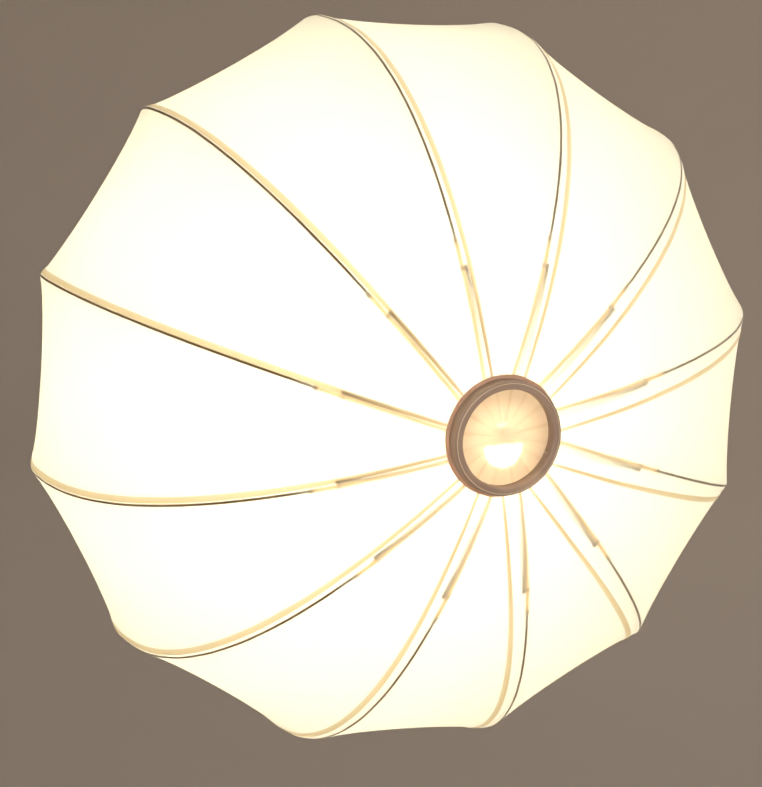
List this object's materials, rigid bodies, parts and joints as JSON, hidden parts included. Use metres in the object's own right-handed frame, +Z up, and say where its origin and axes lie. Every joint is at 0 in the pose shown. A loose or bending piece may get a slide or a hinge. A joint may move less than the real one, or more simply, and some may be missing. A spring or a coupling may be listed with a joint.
{
  "type": "umbrella reflector",
  "caption": "Deep translucent white studio umbrella: cloth dome on curved jointed ribs with stretchers, sliding runner, ringed crown and a straight shaft for a lamp's umbrella socket.",
  "frame": {"origin": "on the shaft's axis, at the middle of the 120 mm stretch that a lamp's umbrella socket clamps", "axes": "+Y along the shaft to its free rear end, -Y towards the crown and the dome's closed front, +Z up with the latch pad on top"},
  "size_m": [0.6464, 0.6215, 0.6464],
  "materials": {
    "canopy_cloth": "white translucent diffusion cloth, plain weave, matte",
    "disc_cloth": "cream translucent cloth, pleated radially",
    "crown_ring_plastic": "dark brown-grey moulded plastic, semi-gloss",
    "pale_plastic": "milky moulded plastic, satin",
    "arm_plastic": "amber translucent moulded plastic, satin",
    "rod_steel": "dark bronzed spring steel wire",
    "stretcher_steel": "plated steel strip",
    "bright_steel": "bright plated steel",
    "shaft_steel": "plated steel tube, drawn finish",
    "sleeve_plastic": "low-friction white acetal",
    "grip_plastic": "black textured plastic",
    "cap_rubber": "black soft plastic"
  },
  "bodies": {
    "root": {"shaft": "shaft_steel", "shaft_end_cap": "cap_rubber", "shaft_cross_pin": "bright_steel", "runner_stop_ring": "bright_steel", "crown_carrier": "pale_plastic", "crown_ring": "crown_ring_plastic", "crown_disc": "disc_cloth", "crown_screws": "bright_steel", "crown_pins": "bright_steel", "canopy_clamp_ring": "bright_steel", "canopy": "canopy_cloth"},
    "arm_01": {"rib_arm_01": "arm_plastic"},
    "arm_02": {"rib_arm_02": "arm_plastic"},
    "arm_03": {"rib_arm_03": "arm_plastic"},
    "arm_04": {"rib_arm_04": "arm_plastic"},
    "arm_05": {"rib_arm_05": "arm_plastic"},
    "arm_06": {"rib_arm_06": "arm_plastic"},
    "arm_07": {"rib_arm_07": "arm_plastic"},
    "arm_08": {"rib_arm_08": "arm_plastic"},
    "arm_09": {"rib_arm_09": "arm_plastic"},
    "arm_10": {"rib_arm_10": "arm_plastic"},
    "arm_11": {"rib_arm_11": "arm_plastic"},
    "arm_12": {"rib_arm_12": "arm_plastic"},
    "rod_01": {"rib_rod_01": "rod_steel"},
    "rod_02": {"rib_rod_02": "rod_steel"},
    "rod_03": {"rib_rod_03": "rod_steel"},
    "rod_04": {"rib_rod_04": "rod_steel"},
    "rod_05": {"rib_rod_05": "rod_steel"},
    "rod_06": {"rib_rod_06": "rod_steel"},
    "rod_07": {"rib_rod_07": "rod_steel"},
    "rod_08": {"rib_rod_08": "rod_steel"},
    "rod_09": {"rib_rod_09": "rod_steel"},
    "rod_10": {"rib_rod_10": "rod_steel"},
    "rod_11": {"rib_rod_11": "rod_steel"},
    "rod_12": {"rib_rod_12": "rod_steel"},
    "strut_01": {"stretcher_01": "stretcher_steel"},
    "strut_02": {"stretcher_02": "stretcher_steel"},
    "strut_03": {"stretcher_03": "stretcher_steel"},
    "strut_04": {"stretcher_04": "stretcher_steel"},
    "strut_05": {"stretcher_05": "stretcher_steel"},
    "strut_06": {"stretcher_06": "stretcher_steel"},
    "strut_07": {"stretcher_07": "stretcher_steel"},
    "strut_08": {"stretcher_08": "stretcher_steel"},
    "strut_09": {"stretcher_09": "stretcher_steel"},
    "strut_10": {"stretcher_10": "stretcher_steel"},
    "strut_11": {"stretcher_11": "stretcher_steel"},
    "strut_12": {"stretcher_12": "stretcher_steel"},
    "runner": {"runner_flange": "pale_plastic", "runner_sleeve": "sleeve_plastic", "runner_grip": "grip_plastic", "runner_pins": "bright_steel", "latch_pin": "bright_steel", "latch_spring": "bright_steel"},
    "latch": {"latch_lever": "grip_plastic"}
  },
  "joints": [
    {"name": "fold", "type": "hinge", "parent": "root", "child": "arm_01", "pos_m": [0.01085, -0.54, 0.02797], "axis": [-0.9323, 0, 0.3616], "range_deg": [0, 76.7], "deforming": ["canopy"]},
    {"name": "arm_swing_02", "type": "hinge", "parent": "root", "child": "arm_02", "pos_m": [0.02338, -0.54, 0.0188], "axis": [-0.6266, 0, 0.7793], "range_deg": [0, 76.7]},
    {"name": "arm_swing_03", "type": "hinge", "parent": "root", "child": "arm_03", "pos_m": [0.02965, -0.54, 0.00459], "axis": [-0.153, 0, 0.9882], "range_deg": [0, 76.7]},
    {"name": "arm_swing_04", "type": "hinge", "parent": "root", "child": "arm_04", "pos_m": [0.02797, -0.54, -0.01085], "axis": [0.3616, 0, 0.9323], "range_deg": [0, 76.7]},
    {"name": "arm_swing_05", "type": "hinge", "parent": "root", "child": "arm_05", "pos_m": [0.0188, -0.54, -0.02338], "axis": [0.7793, 0, 0.6266], "range_deg": [0, 76.7]},
    {"name": "arm_swing_06", "type": "hinge", "parent": "root", "child": "arm_06", "pos_m": [0.00459, -0.54, -0.02965], "axis": [0.9882, 0, 0.153], "range_deg": [0, 76.7]},
    {"name": "arm_swing_07", "type": "hinge", "parent": "root", "child": "arm_07", "pos_m": [-0.01085, -0.54, -0.02797], "axis": [0.9323, 0, -0.3616], "range_deg": [0, 76.7]},
    {"name": "arm_swing_08", "type": "hinge", "parent": "root", "child": "arm_08", "pos_m": [-0.02338, -0.54, -0.0188], "axis": [0.6266, 0, -0.7793], "range_deg": [0, 76.7]},
    {"name": "arm_swing_09", "type": "hinge", "parent": "root", "child": "arm_09", "pos_m": [-0.02965, -0.54, -0.00459], "axis": [0.153, 0, -0.9882], "range_deg": [0, 76.7]},
    {"name": "arm_swing_10", "type": "hinge", "parent": "root", "child": "arm_10", "pos_m": [-0.02797, -0.54, 0.01085], "axis": [-0.3616, 0, -0.9323], "range_deg": [0, 76.7]},
    {"name": "arm_swing_11", "type": "hinge", "parent": "root", "child": "arm_11", "pos_m": [-0.0188, -0.54, 0.02338], "axis": [-0.7793, 0, -0.6266], "range_deg": [0, 76.7]},
    {"name": "arm_swing_12", "type": "hinge", "parent": "root", "child": "arm_12", "pos_m": [-0.00459, -0.54, 0.02965], "axis": [-0.9882, 0, -0.153], "range_deg": [0, 76.7]},
    {"name": "rod_bend_01", "type": "hinge", "parent": "arm_01", "child": "rod_01", "pos_m": [0.05849, -0.51859, 0.1508], "axis": [-0.9323, 0, 0.3616], "range_deg": [-50, 0]},
    {"name": "rod_bend_02", "type": "hinge", "parent": "arm_02", "child": "rod_02", "pos_m": [0.12605, -0.51859, 0.10135], "axis": [-0.6266, 0, 0.7793], "range_deg": [-50, 0]},
    {"name": "rod_bend_03", "type": "hinge", "parent": "arm_03", "child": "rod_03", "pos_m": [0.15984, -0.51859, 0.02474], "axis": [-0.153, 0, 0.9882], "range_deg": [-50, 0]},
    {"name": "rod_bend_04", "type": "hinge", "parent": "arm_04", "child": "rod_04", "pos_m": [0.1508, -0.51859, -0.05849], "axis": [0.3616, 0, 0.9323], "range_deg": [-50, 0]},
    {"name": "rod_bend_05", "type": "hinge", "parent": "arm_05", "child": "rod_05", "pos_m": [0.10135, -0.51859, -0.12605], "axis": [0.7793, 0, 0.6266], "range_deg": [-50, 0]},
    {"name": "rod_bend_06", "type": "hinge", "parent": "arm_06", "child": "rod_06", "pos_m": [0.02474, -0.51859, -0.15984], "axis": [0.9882, 0, 0.153], "range_deg": [-50, 0]},
    {"name": "rod_bend_07", "type": "hinge", "parent": "arm_07", "child": "rod_07", "pos_m": [-0.05849, -0.51859, -0.1508], "axis": [0.9323, 0, -0.3616], "range_deg": [-50, 0]},
    {"name": "rod_bend_08", "type": "hinge", "parent": "arm_08", "child": "rod_08", "pos_m": [-0.12605, -0.51859, -0.10135], "axis": [0.6266, 0, -0.7793], "range_deg": [-50, 0]},
    {"name": "rod_bend_09", "type": "hinge", "parent": "arm_09", "child": "rod_09", "pos_m": [-0.15984, -0.51859, -0.02474], "axis": [0.153, 0, -0.9882], "range_deg": [-50, 0]},
    {"name": "rod_bend_10", "type": "hinge", "parent": "arm_10", "child": "rod_10", "pos_m": [-0.1508, -0.51859, 0.05849], "axis": [-0.3616, 0, -0.9323], "range_deg": [-50, 0]},
    {"name": "rod_bend_11", "type": "hinge", "parent": "arm_11", "child": "rod_11", "pos_m": [-0.10135, -0.51859, 0.12605], "axis": [-0.7793, 0, -0.6266], "range_deg": [-50, 0]},
    {"name": "rod_bend_12", "type": "hinge", "parent": "arm_12", "child": "rod_12", "pos_m": [-0.02474, -0.51859, 0.15984], "axis": [-0.9882, 0, -0.153], "range_deg": [-50, 0]},
    {"name": "strut_swing_01", "type": "hinge", "parent": "arm_01", "child": "strut_01", "pos_m": [0.05011, -0.52235, 0.1292], "axis": [-0.9323, 0, 0.3616], "range_deg": [-154, 0]},
    {"name": "strut_swing_02", "type": "hinge", "parent": "arm_02", "child": "strut_02", "pos_m": [0.108, -0.52235, 0.08683], "axis": [-0.6266, 0, 0.7793], "range_deg": [-154, 0]},
    {"name": "strut_swing_03", "type": "hinge", "parent": "arm_03", "child": "strut_03", "pos_m": [0.13694, -0.52235, 0.0212], "axis": [-0.153, 0, 0.9882], "range_deg": [-154, 0]},
    {"name": "strut_swing_04", "type": "hinge", "parent": "arm_04", "child": "strut_04", "pos_m": [0.1292, -0.52235, -0.05011], "axis": [0.3616, 0, 0.9323], "range_deg": [-154, 0]},
    {"name": "strut_swing_05", "type": "hinge", "parent": "arm_05", "child": "strut_05", "pos_m": [0.08683, -0.52235, -0.108], "axis": [0.7793, 0, 0.6266], "range_deg": [-154, 0]},
    {"name": "strut_swing_06", "type": "hinge", "parent": "arm_06", "child": "strut_06", "pos_m": [0.0212, -0.52235, -0.13694], "axis": [0.9882, 0, 0.153], "range_deg": [-154, 0]},
    {"name": "strut_swing_07", "type": "hinge", "parent": "arm_07", "child": "strut_07", "pos_m": [-0.05011, -0.52235, -0.1292], "axis": [0.9323, 0, -0.3616], "range_deg": [-154, 0]},
    {"name": "strut_swing_08", "type": "hinge", "parent": "arm_08", "child": "strut_08", "pos_m": [-0.108, -0.52235, -0.08683], "axis": [0.6266, 0, -0.7793], "range_deg": [-154, 0]},
    {"name": "strut_swing_09", "type": "hinge", "parent": "arm_09", "child": "strut_09", "pos_m": [-0.13694, -0.52235, -0.0212], "axis": [0.153, 0, -0.9882], "range_deg": [-154, 0]},
    {"name": "strut_swing_10", "type": "hinge", "parent": "arm_10", "child": "strut_10", "pos_m": [-0.1292, -0.52235, 0.05011], "axis": [-0.3616, 0, -0.9323], "range_deg": [-154, 0]},
    {"name": "strut_swing_11", "type": "hinge", "parent": "arm_11", "child": "strut_11", "pos_m": [-0.08683, -0.52235, 0.108], "axis": [-0.7793, 0, -0.6266], "range_deg": [-154, 0]},
    {"name": "strut_swing_12", "type": "hinge", "parent": "arm_12", "child": "strut_12", "pos_m": [-0.0212, -0.52235, 0.13694], "axis": [-0.9882, 0, -0.153], "range_deg": [-154, 0]},
    {"name": "runner_travel", "type": "hinge", "parent": "strut_01", "child": "runner", "pos_m": [0.01085, -0.5047, 0.02797], "axis": [-0.9323, 0, 0.3616], "range_deg": [0, 77]},
    {"name": "latch_press", "type": "hinge", "parent": "runner", "child": "latch", "pos_m": [0, -0.4827, 0.0125], "axis": [-1, 0, 0], "range_deg": [0, 6], "stiffness_Nm_per_rad": 0.05, "deforming": ["latch_spring"]}
  ],
  "couplings": [
    {"joint": "arm_swing_02", "follows": "fold", "ratio": 1},
    {"joint": "arm_swing_03", "follows": "fold", "ratio": 1},
    {"joint": "arm_swing_04", "follows": "fold", "ratio": 1},
    {"joint": "arm_swing_05", "follows": "fold", "ratio": 1},
    {"joint": "arm_swing_06", "follows": "fold", "ratio": 1},
    {"joint": "arm_swing_07", "follows": "fold", "ratio": 1},
    {"joint": "arm_swing_08", "follows": "fold", "ratio": 1},
    {"joint": "arm_swing_09", "follows": "fold", "ratio": 1},
    {"joint": "arm_swing_10", "follows": "fold", "ratio": 1},
    {"joint": "arm_swing_11", "follows": "fold", "ratio": 1},
    {"joint": "arm_swing_12", "follows": "fold", "ratio": 1},
    {"joint": "rod_bend_01", "follows": "fold", "ratio": -0.647},
    {"joint": "rod_bend_02", "follows": "fold", "ratio": -0.647},
    {"joint": "rod_bend_03", "follows": "fold", "ratio": -0.647},
    {"joint": "rod_bend_04", "follows": "fold", "ratio": -0.647},
    {"joint": "rod_bend_05", "follows": "fold", "ratio": -0.647},
    {"joint": "rod_bend_06", "follows": "fold", "ratio": -0.647},
    {"joint": "rod_bend_07", "follows": "fold", "ratio": -0.647},
    {"joint": "rod_bend_08", "follows": "fold", "ratio": -0.647},
    {"joint": "rod_bend_09", "follows": "fold", "ratio": -0.647},
    {"joint": "rod_bend_10", "follows": "fold", "ratio": -0.647},
    {"joint": "rod_bend_11", "follows": "fold", "ratio": -0.647},
    {"joint": "rod_bend_12", "follows": "fold", "ratio": -0.647},
    {"joint": "strut_swing_01", "follows": "fold", "ratio": -2},
    {"joint": "strut_swing_02", "follows": "fold", "ratio": -2},
    {"joint": "strut_swing_03", "follows": "fold", "ratio": -2},
    {"joint": "strut_swing_04", "follows": "fold", "ratio": -2},
    {"joint": "strut_swing_05", "follows": "fold", "ratio": -2},
    {"joint": "strut_swing_06", "follows": "fold", "ratio": -2},
    {"joint": "strut_swing_07", "follows": "fold", "ratio": -2},
    {"joint": "strut_swing_08", "follows": "fold", "ratio": -2},
    {"joint": "strut_swing_09", "follows": "fold", "ratio": -2},
    {"joint": "strut_swing_10", "follows": "fold", "ratio": -2},
    {"joint": "strut_swing_11", "follows": "fold", "ratio": -2},
    {"joint": "strut_swing_12", "follows": "fold", "ratio": -2},
    {"joint": "runner_travel", "follows": "fold", "ratio": 1}
  ]
}
